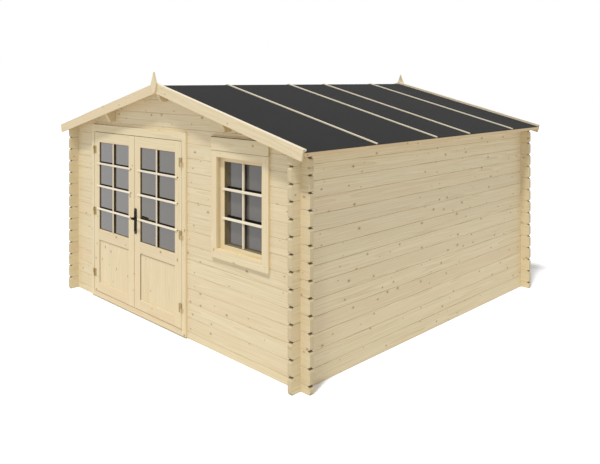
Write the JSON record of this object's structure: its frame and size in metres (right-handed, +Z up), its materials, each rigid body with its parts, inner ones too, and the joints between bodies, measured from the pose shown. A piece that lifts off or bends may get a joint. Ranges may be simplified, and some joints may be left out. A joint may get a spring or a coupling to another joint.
{
  "type": "garden shed",
  "caption": "Square garden shed of interlocking machined logs with a felted gable roof, a pair of glazed outward-opening doors with a lever handle, and a barred window in the front wall.",
  "frame": {"origin": "on the ground under the middle of the shed", "axes": "+X along the front wall to the right as seen from outside, -Y towards the viewer of the doors, +Z up"},
  "size_m": [4.156, 4.136, 2.5873],
  "materials": {
    "log_spruce": "planed untreated spruce with knots",
    "board_spruce": "planed untreated spruce boards",
    "trim_spruce": "planed untreated spruce",
    "door_spruce": "sanded untreated spruce",
    "roof_felt": "dark grey mineral roofing felt",
    "window_glass": "clear glass over a dark room",
    "hinge_brass": "yellow zinc plated",
    "handle_bronze": "dark bronze coating"
  },
  "bodies": {
    "shed": {"right_wall_logs_a": "log_spruce", "right_wall_logs_b": "log_spruce", "left_wall_logs_a": "log_spruce", "left_wall_logs_b": "log_spruce", "back_wall_logs_a": "log_spruce", "back_wall_logs_b": "log_spruce", "front_wall_logs_a": "log_spruce", "front_wall_logs_b": "log_spruce", "door_lintel_log": "log_spruce", "roof_purlins": "board_spruce", "left_roof_boards": "board_spruce", "right_roof_boards": "board_spruce", "floor_joists": "board_spruce", "floor_boards": "board_spruce", "left_roof_battens": "trim_spruce", "right_roof_battens": "trim_spruce", "eave_strips": "trim_spruce", "front_left_bargeboard": "trim_spruce", "front_right_bargeboard": "trim_spruce", "back_left_bargeboard": "trim_spruce", "back_right_bargeboard": "trim_spruce", "finials": "trim_spruce", "door_posts": "trim_spruce", "door_head": "trim_spruce", "door_side_casings": "trim_spruce", "door_head_casing": "trim_spruce", "window_frame": "trim_spruce", "window_side_casings": "trim_spruce", "window_head_casing": "trim_spruce", "window_foot_casing": "trim_spruce", "window_cover_board": "trim_spruce", "window_sash": "trim_spruce", "roof_felt": "roof_felt", "window_glass": "window_glass", "hinge_pins": "hinge_brass"},
    "left_door": {"left_door_frame": "door_spruce", "left_door_panel": "door_spruce", "left_door_glass": "window_glass", "left_hinge_leaves": "hinge_brass"},
    "right_door": {"right_door_frame": "door_spruce", "right_door_panel": "door_spruce", "right_door_glass": "window_glass", "right_hinge_leaves": "hinge_brass", "handle_plates": "handle_bronze"},
    "door_handle": {"handle_levers": "handle_bronze"}
  },
  "joints": [
    {"name": "left_door_swing", "type": "hinge", "parent": "shed", "child": "left_door", "pos_m": [-1.437, -1.951, 0.992], "axis": [0, 0, -1], "range_deg": [0, 160]},
    {"name": "right_door_swing", "type": "hinge", "parent": "shed", "child": "right_door", "pos_m": [0.305, -1.951, 0.992], "axis": [0, 0, 1], "range_deg": [0, 160]},
    {"name": "handle_turn", "type": "hinge", "parent": "right_door", "child": "door_handle", "pos_m": [-0.5365, -1.922, 1.04], "axis": [0, 1, 0], "range_deg": [0, 40], "stiffness_Nm_per_rad": 1, "springref_deg": -34.38}
  ]
}
